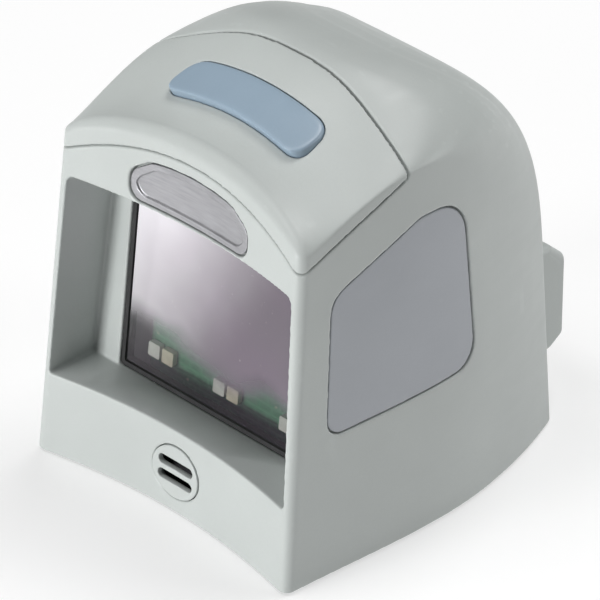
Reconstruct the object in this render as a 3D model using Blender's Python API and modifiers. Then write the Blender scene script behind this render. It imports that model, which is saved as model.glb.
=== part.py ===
"""A compact hands-free presentation scanner: an arched housing with a recessed window, a press button
on its hood and a cable block at the back. Lengths are in millimetres until a mesh is made."""

import functools
import math
from collections import namedtuple

import bmesh
import bpy
import numpy as np
from mathutils import Matrix, Vector

MM = 0.001
GAP = 0.3
FAR = 140.0
# A floor below everything, for cutters shaped like the body.
UNDER = -5.0

# The body is lofted through four stations along its depth.
Station = namedtuple("Station", "depth half_width lean shoulder crown top_power side_power")
STATIONS = (
    Station(0.0, 36.2, 0.0375, 71.43, 80.25, 1.67, 2.0),
    Station(0.4, 37.9, 0.0375, 80.06, 87.51, 1.48, 2.0),
    Station(0.7, 36.63, 0.0400, 70.48, 92.07, 2.72, 2.72),
    Station(1.0, 29.02, 0.0440, 35.49, 88.93, 3.73, 3.73),
)
FRONT_LEAN, FRONT_BOW, FRONT_BOW_FADE = 0.095, 4.65, 0.011
REAR_Y, REAR_LEAN, REAR_BOW = 81.7, 0.038, 0.35
# How far each end's edge is rounded, down the sides and at the crown: inward, and along the depth.
FRONT_EDGE = ((2.6, 3.0), (2.6, 3.0))
REAR_EDGE = ((2.0, 43.0), (2.0, 26.6))
CROWN_POWER = 2.2
BLEND_REACH, BLEND_FROM, BLEND_TO = 0.3, 1.3, 2.95
BLEND_WEIGHTS = (1, 2, 3, 4, 3, 2, 1)
RIM_Z = 0.5
WALL = 2.4

# The hood's edges: an arch across the front, a slope along the sides, a leaning plane at the back.
SEAM_CORNER_X, SEAM_CORNER_Z, SEAM_RISE = 33.5, 67.3, 8.2
SEAM_SLOPE = 0.428
SEAM_HOLLOW_X = 31.0
SEAM_BACK_Y, SEAM_BACK_Z, SEAM_BACK_LEAN = 37.5, 90.2, 0.36
TAB_X = (29.2, 31.0)
TAB_LOW, TAB_HIGH = 67.0, 77.8

# The window recess and what closes it.
SILL_Z, LINTEL_Z = 18.2, 62.6
RECESS_LOW_X, RECESS_HIGH_X, RECESS_CORNER = 33.4, 31.3, 1.8
FRAME_Y, FRAME_LEAN, FRAME_THICK = 14.4, 0.12, 2.2
SHELF_THICK = 2.2
WINDOW_X, WINDOW_TOP = 26.2, 60.2
GASKET_WIDTH = 0.9
GLASS_SETBACK, GLASS_THICK = 0.7, 1.8
LAMP_BOARD_BACK = 7.0
LAMP_PAIRS_X, LAMP_SHIFT, LAMP_Z = (-20.2, -1.5, 17.2), 1.95, 20.7
LAMP_HALF, LAMP_TALL = (1.6, 1.5), 1.2
LENS_Z = 41.0
IMAGER_Y = 37.0
BRACKET_THICK = 1.5
BOARD_Y, RIBBON_SAG = 66.0, 5.0
BEEPER_Y = 8.9

# The sounder's grille, under the sill.
GRILLE_Z, GRILLE_HALF = 9.2, (6.3, 5.4)
SLOT_LIFT, SLOT_HALF, SLOT_TALL = 1.6, 4.8, 2.0
GRILLE_THICK = 1.1

# The press button, whose axis stands square to the hood.
BUTTON_AT = (0.0, 24.3, 85.3)
BUTTON_TILT = math.radians(28.0)
BUTTON_HALF, BUTTON_DEPTH = 18.4, 9.4
BUTTON_BOW, BUTTON_FRONT_BOW = 1.6, 2.1
BUTTON_END_POWER = 0.72
# Its top lies in the hood's surface at the rear edge and rises out of it towards the front.
BUTTON_REAR = (0.0, 28.8, 87.3)
BUTTON_RISE = math.radians(11.0)
BUTTON_FLUSH = 0.2
BUTTON_FLANGE = 1.2
BOARD_POST_X, BOARD_POST_Y, BOARD_POST_RADIUS = 11.5, 9.0, 2.0
STEM_END = -5.2
SWITCH_TOP, SWITCH_SIDE, SWITCH_HEIGHT = -6.7, 6.0, 3.3
BUTTON_BOARD_TOP = SWITCH_TOP - SWITCH_HEIGHT - GAP
PLUNGER_RADIUS = 1.75

# The cable block on the back.
BLOCK_HALF, BLOCK_BACK = 20.5, 92.7
BLOCK_LOW, BLOCK_HIGH = 9.9, 34.3
SOCKET_Z = 20.6
SOCKET_FLOOR_Y = 84.3
WIRE_HOLE = 2.7
SOCKET_HALF, SOCKET_HIGH = 7.0, 5.2
BLOCK_SCREW_X, BLOCK_SCREW_LENGTH = 12.5, 9.0

# The base.
BASE_Z, BASE_THICK = 0.9, 2.0
BASE_SCREWS = ((30.3, 9.8), (27.2, 70.0))
FEET = ((24.0, 16.0), (20.0, 66.0))
BOSS_RADIUS, BOSS_TOP = 4.0, 12.5
FOOT_RADIUS, FOOT_HEIGHT = 4.5, 1.6
SCREW_RADIUS, SCREW_HEAD, SCREW_HEAD_HEIGHT = 1.0, 2.1, 1.2
SCREW_HOLE = SCREW_RADIUS + GAP
SIDES = ((-1, "left"), (1, "right"))

SHELL_GREY = (0.50, 0.53, 0.50)
PANEL_GREY = (0.30, 0.32, 0.36)
FINISHES = {
    "shell_plastic": (SHELL_GREY, 0.45, 0.0),
    "panel_plastic": (PANEL_GREY, 0.55, 0.0),
    "button_plastic": (PANEL_GREY[:2] + (0.44,), 0.3, 0.0),
    "badge_plate": ((0.42, 0.42, 0.43), 0.35, 0.6),
    "black_plastic": ((0.02, 0.02, 0.022), 0.5, 0.0),
    "rubber": ((0.02, 0.02, 0.02), 0.8, 0.0),
    "window_glass": ((0.30, 0.24, 0.34), 0.05, 0.0),
    "lens_glass": ((0.05, 0.07, 0.12), 0.03, 0.0),
    "board_green": ((0.04, 0.20, 0.09), 0.5, 0.0),
    "lamp_white": ((0.85, 0.83, 0.78), 0.3, 0.0),
    "lamp_amber": ((0.72, 0.55, 0.33), 0.3, 0.0),
    "steel": ((0.55, 0.55, 0.56), 0.3, 1.0),
    "gold": ((0.83, 0.62, 0.25), 0.25, 1.0),
    "ribbon": ((0.75, 0.42, 0.12), 0.4, 0.0),
}

# How finely the body is divided, for the housing and for the small pieces cut from its skin.
BODY_DETAIL = {"ends": 6, "middle": 12, "sides": 3, "arch": 12, "across": 10}
PANEL_DETAIL = {"ends": 3, "middle": 8, "sides": 3, "arch": 6, "across": 4}
TRIM_DETAIL = PANEL_DETAIL | {"across": 10}
BASE_DETAIL = {"ends": 2, "middle": 8, "sides": 2, "arch": 4, "across": 4}

PARTS = None
CUTTERS = None
ROOT = None
MATERIALS = {}


# ---------------------------------------------------------------- scene helpers


def clear_scene():
    for obj in list(bpy.data.objects):
        bpy.data.objects.remove(obj, do_unlink=True)


def make_collections():
    """The two collections, and the empty that centres the object over the world's origin."""
    global PARTS, CUTTERS, ROOT
    PARTS = bpy.data.collections.new("presentation_scanner")
    CUTTERS = bpy.data.collections.new("cutters")
    for group in (PARTS, CUTTERS):
        bpy.context.scene.collection.children.link(group)
    ROOT = bpy.data.objects.new("scanner_origin", None)
    ROOT.location = (0.0, -(body_front() + BLOCK_BACK) / 2 * MM, 0.0)
    PARTS.objects.link(ROOT)


def material(finish):
    if finish not in MATERIALS:
        color, roughness, metallic = FINISHES[finish]
        made = bpy.data.materials.new(finish)
        made.use_nodes = True
        shader = made.node_tree.nodes["Principled BSDF"]
        shader.inputs["Base Color"].default_value = (*color, 1.0)
        shader.inputs["Roughness"].default_value = roughness
        shader.inputs["Metallic"].default_value = metallic
        MATERIALS[finish] = made
    return MATERIALS[finish]


def place(name, mesh, finish=None):
    """An object of this mesh: a part where it has a finish, a hidden cutter where it has none."""
    obj = bpy.data.objects.new(name, mesh)
    obj.parent = ROOT
    if finish:
        PARTS.objects.link(obj)
        mesh.materials.append(material(finish))
    else:
        CUTTERS.objects.link(obj)
        obj.hide_render = True
        obj.display_type = "WIRE"
    return obj


def mesh_of(bm, name, smooth=False, split=False):
    """The mesh in metres. Curved faces are split into triangles, which a Boolean cuts cleanly."""
    bmesh.ops.scale(bm, vec=(MM, MM, MM), verts=bm.verts)
    if split:
        bmesh.ops.triangulate(bm, faces=bm.faces)
    bmesh.ops.recalc_face_normals(bm, faces=bm.faces)
    mesh = bpy.data.meshes.new(name)
    bm.to_mesh(mesh)
    bm.free()
    if smooth:
        mesh.shade_smooth()
        mesh.set_sharp_from_angle(angle=math.radians(35))
    return mesh


def boolean(obj, operation, other, solver="EXACT"):
    modifier = obj.modifiers.new(f"{operation.lower()}_{other.name}", "BOOLEAN")
    modifier.operation = operation
    modifier.object = other
    modifier.solver = solver
    return obj


def cut(obj, *others, solver="EXACT"):
    for other in others:
        boolean(obj, "DIFFERENCE", other, solver)
    return obj


def join(obj, *others):
    for other in others:
        boolean(obj, "UNION", other)
    return obj


def keep(obj, other, solver="EXACT"):
    return boolean(obj, "INTERSECT", other, solver)


def round_edges(obj, width, segments=2, angle=50.0):
    modifier = obj.modifiers.new("round_edges", "BEVEL")
    modifier.width = width * MM
    modifier.segments = segments
    modifier.limit_method = "ANGLE"
    modifier.angle_limit = math.radians(angle)
    modifier.harden_normals = False
    return obj


# ---------------------------------------------------------------- simple solids


def box(name, low, high, finish=None, turn=None):
    """A box between two corners, which turn carries to its place."""
    bm = bmesh.new()
    bmesh.ops.create_cube(bm, size=1.0)
    low, high = Vector(low), Vector(high)
    bmesh.ops.scale(bm, vec=high - low, verts=bm.verts)
    bmesh.ops.translate(bm, vec=(low + high) / 2, verts=bm.verts)
    if turn:
        bmesh.ops.transform(bm, matrix=turn, verts=bm.verts)
    return place(name, mesh_of(bm, name), finish)


def rod(name, radius, low, high, turn, finish=None, sides=20):
    """A cylinder along its own Z from low to high, which turn carries to its place."""
    bm = bmesh.new()
    bmesh.ops.create_cone(
        bm, cap_ends=True, segments=sides, radius1=radius, radius2=radius, depth=high - low
    )
    bmesh.ops.translate(bm, vec=(0, 0, (low + high) / 2), verts=bm.verts)
    bmesh.ops.transform(bm, matrix=turn, verts=bm.verts)
    return place(name, mesh_of(bm, name, smooth=True), finish)


def turned(name, profile, turn, finish, sides=18):
    """A solid of revolution about its own Z. The profile runs down the outer side, top to bottom."""
    mesh = bpy.data.meshes.new(name)
    points = [(radius * MM, 0.0, height * MM) for radius, height in profile]
    edges = [(i, i + 1) for i in range(len(points) - 1)]
    mesh.from_pydata(points, edges, [])
    obj = place(name, mesh, finish)
    turn = turn.copy()
    turn.translation = turn.translation * MM
    obj.matrix_local = turn
    screw = obj.modifiers.new("turn", "SCREW")
    screw.steps = screw.render_steps = sides
    screw.use_merge_vertices = True
    screw.merge_threshold = 0.00001
    screw.use_smooth_shade = True
    return obj


def plate(name, outline, low, high, turn, finish=None):
    """A flat outline in its own XY plane, made thick from low to high, which turn carries to its place."""
    curve = bpy.data.curves.new(name, "CURVE")
    curve.dimensions = "2D"
    curve.fill_mode = "BOTH"
    curve.extrude = (high - low) / 2
    spline = curve.splines.new("POLY")
    spline.points.add(len(outline) - 1)
    for point, (x, y) in zip(spline.points, outline):
        point.co = (x, y, 0.0, 1.0)
    spline.use_cyclic_u = True
    holder = bpy.data.objects.new(name + "_outline", curve)
    bpy.context.scene.collection.objects.link(holder)
    graph = bpy.context.evaluated_depsgraph_get()
    flat = bpy.data.meshes.new_from_object(holder.evaluated_get(graph))
    bpy.data.objects.remove(holder, do_unlink=True)
    bm = bmesh.new()
    bm.from_mesh(flat)
    bmesh.ops.remove_doubles(bm, verts=bm.verts, dist=0.001)
    bmesh.ops.translate(bm, vec=(0, 0, (low + high) / 2), verts=bm.verts)
    bmesh.ops.transform(bm, matrix=turn, verts=bm.verts)
    return place(name, mesh_of(bm, name), finish)


def facing(direction, at=(0.0, 0.0, 0.0)):
    """A placement whose Z axis points along direction. Its X axis stays level."""
    z_axis = Vector(direction).normalized()
    x_axis = Vector((0, 0, 1)).cross(z_axis)
    x_axis = x_axis.normalized() if x_axis.length > 0.001 else Vector((1, 0, 0))
    y_axis = z_axis.cross(x_axis)
    turn = Matrix((x_axis, y_axis, z_axis)).transposed().to_4x4()
    turn.translation = Vector(at)
    return turn


# An outline drawn in (x, z) is carried upright, its thickness running along +Y.
UPRIGHT = Matrix(((1, 0, 0, 0), (0, 0, 1, 0), (0, 1, 0, 0), (0, 0, 0, 1)))
# An outline drawn in (y, z) is carried to a side, its thickness running along +X.
SIDEWAYS = Matrix(((0, 0, 1, 0), (1, 0, 0, 0), (0, 1, 0, 0), (0, 0, 0, 1)))
LEANING_BACK = Matrix(
    ((1, 0, 0, 0), (0, FRAME_LEAN, 1, FRAME_Y - FRAME_LEAN * SILL_Z), (0, 1, 0, 0), (0, 0, 0, 1))
)
PRESS = Matrix.Translation(BUTTON_AT) @ Matrix.Rotation(BUTTON_TILT, 4, "X")


def rounded_outline(corners, steps=4):
    """Corners (x, y, radius) joined by straight runs, each corner rounded by an arc."""
    count = len(corners)
    points = []
    for i, (x, y, radius) in enumerate(corners):
        here = Vector((x, y))
        back = (Vector(corners[i - 1][:2]) - here).normalized()
        ahead = (Vector(corners[(i + 1) % count][:2]) - here).normalized()
        half = back.angle(ahead) / 2
        middle = (back + ahead).normalized()
        centre = here + middle * radius / math.sin(half)
        start = here + back * radius / math.tan(half) - centre
        sweep = math.pi - 2 * half
        turn_left = back.cross(ahead) < 0
        for k in range(steps + 1):
            angle = sweep * k / steps * (1 if turn_left else -1)
            spoke = Matrix.Rotation(angle, 2) @ start
            points.append(tuple(centre + spoke))
    return points


def oblong(centre, half_wide, half_high, radius, steps=4):
    """A rectangle about a centre, its corners rounded."""
    x, y = centre
    signs = ((-1, -1), (1, -1), (1, 1), (-1, 1))
    corners = [(x + a * half_wide, y + b * half_high, radius) for a, b in signs]
    return rounded_outline(corners, steps)


def oval(half_wide, half_high, centre, steps=28):
    x, y = centre
    turns = [2 * math.pi * k / steps for k in range(steps)]
    return [(x + half_wide * math.cos(a), y + half_high * math.sin(a)) for a in turns]


# ---------------------------------------------------------------- the lofted body


@functools.cache
def station_curve(field):
    depths = [station.depth for station in STATIONS]
    values = [getattr(station, field) for station in STATIONS]
    return np.polyfit(depths, values, 3)


def at_depth(field, depth):
    """A station value at this share of the depth, on the cubic through the four stations."""
    return float(np.polyval(station_curve(field), depth))


def width_at(depth, z):
    """Half the body's width at this depth and height, below its arch."""
    return at_depth("half_width", depth) - at_depth("lean", depth) * z


def front_y(share, z):
    return FRONT_LEAN * z + (FRONT_BOW - FRONT_BOW_FADE * z) * (1 - share**2)


def rear_y(share, z):
    return REAR_Y - REAR_LEAN * z + REAR_BOW * (1 - share**2)


def half_section(depth, floor, side_steps, arch_steps, tuck=(0.0, 0.0)):
    """The right half's outline at one depth, floor to crown: x, z, outward normal, crown share.

    Tuck is how far the sides and the crown are drawn in where an end is rounded."""
    shoulder, crown_z = at_depth("shoulder", depth), at_depth("crown", depth) - tuck[1]
    turn = np.linspace(math.pi / 2, 0.0, arch_steps + 1)
    lift = np.clip(np.cos(turn), 0, 1)
    side_z = np.linspace(floor, shoulder, side_steps, endpoint=False)
    arch_z = shoulder + (crown_z - shoulder) * lift ** (2 / at_depth("top_power", depth))
    z = np.concatenate([side_z, arch_z])
    across = np.sin(turn) ** (2 / at_depth("side_power", depth))
    share = np.concatenate([np.ones(side_steps), across])
    x = (width_at(depth, z) - tuck[0]) * share
    run = np.gradient(np.stack([x, z], axis=1), axis=0)
    normal = np.stack([run[:, 1], -run[:, 0]], axis=1)
    normal /= np.linalg.norm(normal, axis=1, keepdims=True)
    normal[0] = (1.0, 0.0)
    normal[-1] = (0.0, 1.0)
    crown = np.concatenate([np.zeros(side_steps), lift**CROWN_POWER])
    return x, z, normal, crown


def body_rows(end_steps, middle_steps):
    """Rows from front to back: 0 to 1 is the front end's rounding, 2 to 3 the rear end's."""
    rows = [k / end_steps for k in range(end_steps)]
    rows += [1 + k / middle_steps for k in range(middle_steps)]
    rows += [2 + k / end_steps for k in range(end_steps + 1)]
    return rows


def edge_size(edge, which, crown, wall):
    """The rounding of an end's edge, from its size on the sides to its size at the crown."""
    side, top = edge[which]
    return np.maximum(side + (top - side) * crown - wall, 0.4)


def plain_row(row, wall, floor, side_steps, arch_steps):
    """Points of the right half of one row, moved inward from the outer surface by wall."""
    depth = min(max(row - 1, 0.0), 1.0)
    end = "front" if row <= 1 else "rear" if row >= 2 else "middle"
    turn = min(row, 3 - row, 1.0)
    angle = turn * math.pi / 2
    edge = FRONT_EDGE if end == "front" else REAR_EDGE
    drawn = 0.0 if end == "middle" else 1 - math.sin(angle)
    tuck = [drawn * edge_size(edge, 0, crown, wall) for crown in (0.0, 1.0)]
    x, z, normal, crown = half_section(depth, floor, side_steps, arch_steps, tuck)
    new_x = np.maximum(x - wall * normal[:, 0], 0.0)
    new_z = z - wall * normal[:, 1]
    new_z[0] = floor
    new_x[-1] = 0.0
    share = new_x / width_at(depth, new_z)
    front_edge = edge_size(FRONT_EDGE, 1, crown, wall)
    rear_edge = edge_size(REAR_EDGE, 1, crown, wall)
    front = front_y(share, new_z) + wall
    rear = rear_y(share, new_z) - wall
    if end == "front":
        y = front + front_edge * (1 - math.cos(angle))
    elif end == "rear":
        y = rear - rear_edge * (1 - math.cos(angle))
    else:
        y = (front + front_edge) * (1 - depth) + (rear - rear_edge) * depth
    return np.stack([new_x, y, new_z], axis=1)


def row_points(row, wall, floor, side_steps, arch_steps):
    """A row averaged with those beside it, so that the rear's rounding starts without a crease."""
    reach = min(BLEND_REACH, (row - BLEND_FROM) * 0.7, (BLEND_TO - row) * 0.6)
    if reach <= 0:
        return plain_row(row, wall, floor, side_steps, arch_steps)
    total = 0.0
    for k, weight in enumerate(BLEND_WEIGHTS):
        beside = row + reach * (k - 3) / 4
        total = total + weight * plain_row(min(beside, 3.0), wall, floor, side_steps, arch_steps)
    return total / sum(BLEND_WEIGHTS)


def body_front():
    """The body's foremost point along Y."""
    rows = body_rows(BODY_DETAIL["ends"], BODY_DETAIL["middle"])
    lines = [row_points(row, 0.0, RIM_Z, BODY_DETAIL["sides"], BODY_DETAIL["arch"]) for row in rows]
    return min(float(line[:, 1].min()) for line in lines)


def bridge(bm, first, second):
    """Faces between two lines of vertices. A line of one vertex makes a fan."""
    if len(first) == 1:
        first, second = second, first
    for k in range(len(first) - 1):
        if len(second) == 1:
            bm.faces.new((first[k], first[k + 1], second[0]))
        else:
            bm.faces.new((first[k], first[k + 1], second[k + 1], second[k]))


def rung(bm, right, left, across, bow):
    """Vertices from right to left between two level ones, bowed along Y in the middle."""
    if right is left:
        return [right]
    line = [right]
    for k in range(1, across):
        share = 1 - 2 * k / across
        y = right.co.y + bow * (1 - share**2)
        line.append(bm.verts.new((right.co.x * share, y, right.co.z)))
    return line + [left]


def body_mesh(name, wall, floor, ends, middle, sides, arch, across):
    """The closed body, its surface moved inward by wall."""
    bm = bmesh.new()
    grid = []
    for row in body_rows(ends, middle):
        points = row_points(row, wall, floor, sides, arch)
        right = [bm.verts.new(p) for p in points]
        left = [bm.verts.new((-p[0], p[1], p[2])) for p in points[:-1]]
        grid.append(right + left[::-1])
    for first, second in zip(grid, grid[1:]):
        bridge(bm, first, second)
    last = len(grid[0]) - 1
    caps = []
    for line, bow_at, depth in ((grid[0], front_y, 0.0), (grid[-1], rear_y, 1.0)):
        rungs = []
        for j in range(last // 2 + 1):
            z = line[j].co.z
            bow = bow_at(0.0, z) - bow_at(line[j].co.x / width_at(depth, z), z)
            rungs.append(rung(bm, line[j], line[last - j], across, bow))
        for lower, upper in zip(rungs, rungs[1:]):
            bridge(bm, lower, upper)
        caps.append(rungs[0])
    count = len(grid)
    floor_lines = [caps[0]]
    for i in range(1, count - 1):
        bow = FRONT_BOW + (REAR_BOW - FRONT_BOW) * i / (count - 1)
        floor_lines.append(rung(bm, grid[i][0], grid[i][last], across, bow * 0.9))
    floor_lines.append(caps[1])
    for first, second in zip(floor_lines, floor_lines[1:]):
        bridge(bm, first, second)
    return mesh_of(bm, name, smooth=True, split=True)


def body_solid(name, wall=0.0, floor=RIM_Z, finish=None, detail=BODY_DETAIL):
    return place(name, body_mesh(name, wall, floor, **detail), finish)


def seam_z(x):
    return SEAM_CORNER_Z + SEAM_RISE * (1 - (min(abs(x), SEAM_CORNER_X) / SEAM_CORNER_X) ** 2)


def hood_zone(name, clearance):
    """The space that the hood fills, closed by the seams and open widely elsewhere.

    Its floor slopes up only along the side walls, because between them the housing is hollow."""
    steps = 16
    middle = [SEAM_HOLLOW_X * (2 * k / steps - 1) for k in range(steps + 1)]
    wall_x = [SEAM_HOLLOW_X + 0.8, SEAM_CORNER_X, FAR / 2]
    bm = bmesh.new()
    rings = []
    for x in [-x for x in reversed(wall_x)] + middle + wall_x:
        share = min(abs(x) / SEAM_CORNER_X, 1.0)
        low = seam_z(x) + clearance
        face = front_y(share, low)
        slope = SEAM_SLOPE if abs(x) > SEAM_HOLLOW_X + 0.1 else 0.0
        back_y = SEAM_BACK_Y - clearance
        reach = back_y - SEAM_BACK_LEAN * (SEAM_BACK_Z - low + slope * face)
        corner_y = reach / (1 - SEAM_BACK_LEAN * slope)
        corner_z = low + slope * (corner_y - face)
        top_y = back_y + SEAM_BACK_LEAN * (FAR - SEAM_BACK_Z)
        ring = [(-FAR, low), (face, low), (corner_y, corner_z), (top_y, FAR), (-FAR, FAR)]
        rings.append([bm.verts.new((x, y, z)) for y, z in ring])
    for first, second in zip(rings, rings[1:]):
        bridge(bm, first + first[:1], second + second[:1])
    bm.faces.new(rings[0])
    bm.faces.new(rings[-1])
    return place(name, mesh_of(bm, name, split=True))


# ---------------------------------------------------------------- housing


def frame_front_y(z):
    return FRAME_Y + FRAME_LEAN * (z - SILL_Z)


def recess_outline(grow=0.0):
    low_x, high_x = RECESS_LOW_X + grow, RECESS_HIGH_X + grow
    low_z, high_z = SILL_Z - grow, LINTEL_Z + grow
    corner = RECESS_CORNER
    return rounded_outline(
        [(-low_x, low_z, 0.8), (low_x, low_z, 0.8), (high_x, high_z, corner), (-high_x, high_z, corner)]
    )


def recess_cutter():
    """The recess, open to the front, its back leaning with the window."""
    cutter = plate("recess_cut", recess_outline(), -FAR, 0.0, UPRIGHT)
    for vertex in cutter.data.vertices:
        if vertex.co.y > -0.5 * FAR * MM:
            vertex.co.y = frame_front_y(vertex.co.z / MM) * MM
    return cutter


def inner_space():
    """The hollow behind the window frame, under the sill and over the lintel."""
    space = body_solid("inner_space", WALL, UNDER)
    low, high = SILL_Z - SHELF_THICK, LINTEL_Z + SHELF_THICK
    side = [
        (-FAR, low),
        (frame_front_y(low) + FRAME_THICK, low),
        (frame_front_y(high) + FRAME_THICK, high),
        (-FAR, high),
    ]
    return cut(space, plate("recess_block", side, -FAR / 2, FAR / 2, SIDEWAYS))


def window_outline(inset):
    side, top, low = WINDOW_X - inset, WINDOW_TOP - inset, SILL_Z + inset
    return rounded_outline([(-side, low, 0.4), (side, low, 0.4), (side, top, 1.2), (-side, top, 1.2)], 2)


def badge_outline(grow=0.0):
    """A straight foot under a shallow arch, with round ends."""
    half, foot, brow, rise = 16.2 + grow, 63.3 - grow, 71.0 + grow, 2.1
    top = [(half * 0.8 * math.cos(a), brow + rise * math.sin(a)) for a in np.linspace(0.5, math.pi - 0.5, 7)]
    ends = [(-half, brow - 2.0, 3.4), (-half, foot, 3.0), (half, foot, 3.0), (half, brow - 2.0, 3.4)]
    return rounded_outline(ends + [(x, z, 0.5) for x, z in top], 4)


def panel_outline(grow=0.0):
    """Five corners seen from the side, in (y, z)."""
    corners = [
        (12.3, 30.8, 3.6),
        (51.6, 31.2, 5.5),
        (48.6, 68.9, 8.6),
        (36.6, 69.2, 8.0),
        (14.6, 60.2, 6.0),
    ]
    centre = Vector((32.0, 51.0))
    grown = []
    for y, z, radius in corners:
        spoke = Vector((y, z)) - centre
        moved = centre + spoke * (1 + 1.3 * grow / spoke.length)
        grown.append((moved.x, moved.y, radius))
    return rounded_outline(grown, 5)


def grille_outline(grow=0.0):
    return oval(GRILLE_HALF[0] + grow, GRILLE_HALF[1] + grow, (0.0, GRILLE_Z))


def button_outline(grow=0.0):
    """A band with round ends, bowed towards the back, in the press plane."""
    half, deep = BUTTON_HALF + grow, BUTTON_DEPTH / 2 + grow
    end = deep * 0.95
    reach = half - end
    front = [(reach * s, -deep) for s in np.linspace(-1, 1, 7)]
    right = []
    for angle in np.linspace(0.25, math.pi - 0.25, 8):
        out, side = math.sin(angle), math.cos(angle)
        level = -math.copysign(abs(side) ** BUTTON_END_POWER, side)
        right.append((reach + end * out**BUTTON_END_POWER, deep * level))
    rear = [(reach * s, deep) for s in np.linspace(1, -1, 7)]
    left = [(-x, -y) for x, y in right]
    bowed = []
    for x, y in front + right + rear + left:
        share = (1 + y / deep) / 2
        bend = BUTTON_FRONT_BOW + (BUTTON_BOW - BUTTON_FRONT_BOW) * share
        bowed.append((x, y + bend * (0.6 - (x / half) ** 2)))
    return bowed


def skin_piece(name, blank, outer, inner, finish, detail):
    """What lies inside the blank between two depths under the body's surface."""
    skin = body_solid(name, outer, finish=finish, detail=detail)
    back = body_solid(name + "_back", inner, UNDER, detail=detail)
    return cut(keep(skin, blank), back, solver="MANIFOLD")


def pocket(name, blank, depth, detail=BODY_DETAIL):
    """A cutter that sinks a pocket of this depth into the body's surface."""
    floor = body_solid(name + "_floor", depth, UNDER, detail=detail)
    return cut(blank, floor, solver="MANIFOLD")


def base_bosses():
    """Bosses on the housing's walls that take the base screws."""
    low = BASE_Z + BASE_THICK + GAP
    spots = [(word, side * x, y) for x, y in BASE_SCREWS for side, word in SIDES]
    return [
        rod(f"base_boss_{word}_{y:.0f}", BOSS_RADIUS, low, BOSS_TOP, Matrix.Translation((x, y, 0)))
        for word, x, y in spots
    ]


def boss_holes():
    spots = [(word, side * x, y) for x, y in BASE_SCREWS for side, word in SIDES]
    return [
        rod(f"boss_hole_{word}_{y:.0f}", SCREW_HOLE, UNDER, BOSS_TOP - 3.0, Matrix.Translation((x, y, 0)))
        for word, x, y in spots
    ]


def panel_blank(name, side, grow):
    low, high = (10.0, FAR) if side > 0 else (-FAR, -10.0)
    return plate(name, panel_outline(grow), low, high, SIDEWAYS)


def block_axis(x, y):
    """A placement on the cable block's middle height, its Z pointing back."""
    return facing((0, 1, 0), (x, y, SOCKET_Z))


def make_main_shell():
    """Front face, sides, crown and back in one moulding, with the recess for the window."""
    shell = body_solid("main_shell", finish="shell_plastic")
    cut(shell, inner_space())
    join(shell, *base_bosses())
    cut(shell, recess_cutter())
    cut(shell, hood_zone("hood_cut", 0.0), solver="MANIFOLD")
    cut(shell, plate("window_cut", window_outline(0.0), -4.0, 12.0, LEANING_BACK))
    cut(shell, pocket("badge", plate("badge_cut", badge_outline(GAP), -20.0, 30.0, UPRIGHT), 1.5))
    cut(shell, plate("grille_cut", grille_outline(GAP), -20.0, 12.0, UPRIGHT))
    for side, word in SIDES:
        blank = panel_blank(f"panel_cut_{word}", side, GAP)
        cut(shell, pocket(f"panel_{word}", blank, 1.25, PANEL_DETAIL))
    cut(shell, *boss_holes())
    for side, word in SIDES:
        axis = block_axis(side * BLOCK_SCREW_X, 70.0)
        cut(shell, rod(f"block_screw_hole_{word}", SCREW_HOLE, 0.0, 30.0, axis))
    cut(shell, rod("wire_hole", WIRE_HOLE, 0.0, 30.0, block_axis(0, 70.0)))


def make_top_cover():
    """The hood, with the button's slot, posts for the button board and snap tabs at its sides."""
    cover = body_solid("top_cover", finish="shell_plastic")
    cut(cover, body_solid("hood_hollow", WALL, UNDER), solver="MANIFOLD")
    keep(cover, hood_zone("hood_keep", GAP), solver="MANIFOLD")
    for side, word in SIDES:
        low, high = BUTTON_BOARD_TOP + GAP, -1.4
        join(cover, rod(f"board_post_{word}", BOARD_POST_RADIUS, low, high, board_post(side)))
        inner, outer = sorted((side * TAB_X[0], side * TAB_X[1]))
        join(cover, box(f"snap_tab_{word}", (inner, 23.0, TAB_LOW), (outer, 28.0, TAB_HIGH)))
    cut(cover, plate("button_slot", button_outline(0.4), -12.0, 12.0, PRESS))
    for side, word in SIDES:
        cut(cover, rod(f"post_hole_{word}", 0.9, BUTTON_BOARD_TOP - 2.0, -4.2, board_post(side)))


def board_post(side):
    """The placement of a post that holds the button board, its Z along the press axis."""
    return PRESS @ Matrix.Translation((side * BOARD_POST_X, BOARD_POST_Y, 0))


def make_panels():
    for side, word in SIDES:
        blank = panel_blank(f"panel_blank_{word}", side, 0.0)
        skin_piece(f"side_panel_{word}", blank, 0.25, 0.95, "panel_plastic", PANEL_DETAIL)


def make_front_trim():
    blank = plate("badge_blank", badge_outline(), -20.0, 30.0, UPRIGHT)
    skin_piece("badge_plate", blank, 0.3, 1.2, "badge_plate", TRIM_DETAIL)
    blank = plate("grille_blank", grille_outline(), -20.0, 12.0, UPRIGHT)
    grille = skin_piece("speaker_grille", blank, 0.0, GRILLE_THICK, "shell_plastic", TRIM_DETAIL)
    for lift in (-SLOT_LIFT, SLOT_LIFT):
        slot = oblong((0.0, GRILLE_Z + lift), SLOT_HALF, SLOT_TALL / 2, SLOT_TALL / 2 - 0.05)
        cut(grille, plate(f"grille_slot_{lift:.0f}", slot, -20.0, 20.0, UPRIGHT))


# ---------------------------------------------------------------- window and optics


def make_window():
    gasket = plate("window_gasket", window_outline(GAP), 0.4, FRAME_THICK + 0.6, LEANING_BACK, "rubber")
    cut(gasket, plate("gasket_hole", window_outline(GAP + GASKET_WIDTH), -5.0, 9.0, LEANING_BACK))
    glass = window_outline(GAP * 2 + GASKET_WIDTH)
    back = GLASS_SETBACK + GLASS_THICK
    plate("window_glass", glass, GLASS_SETBACK, back, LEANING_BACK, "window_glass")


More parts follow.
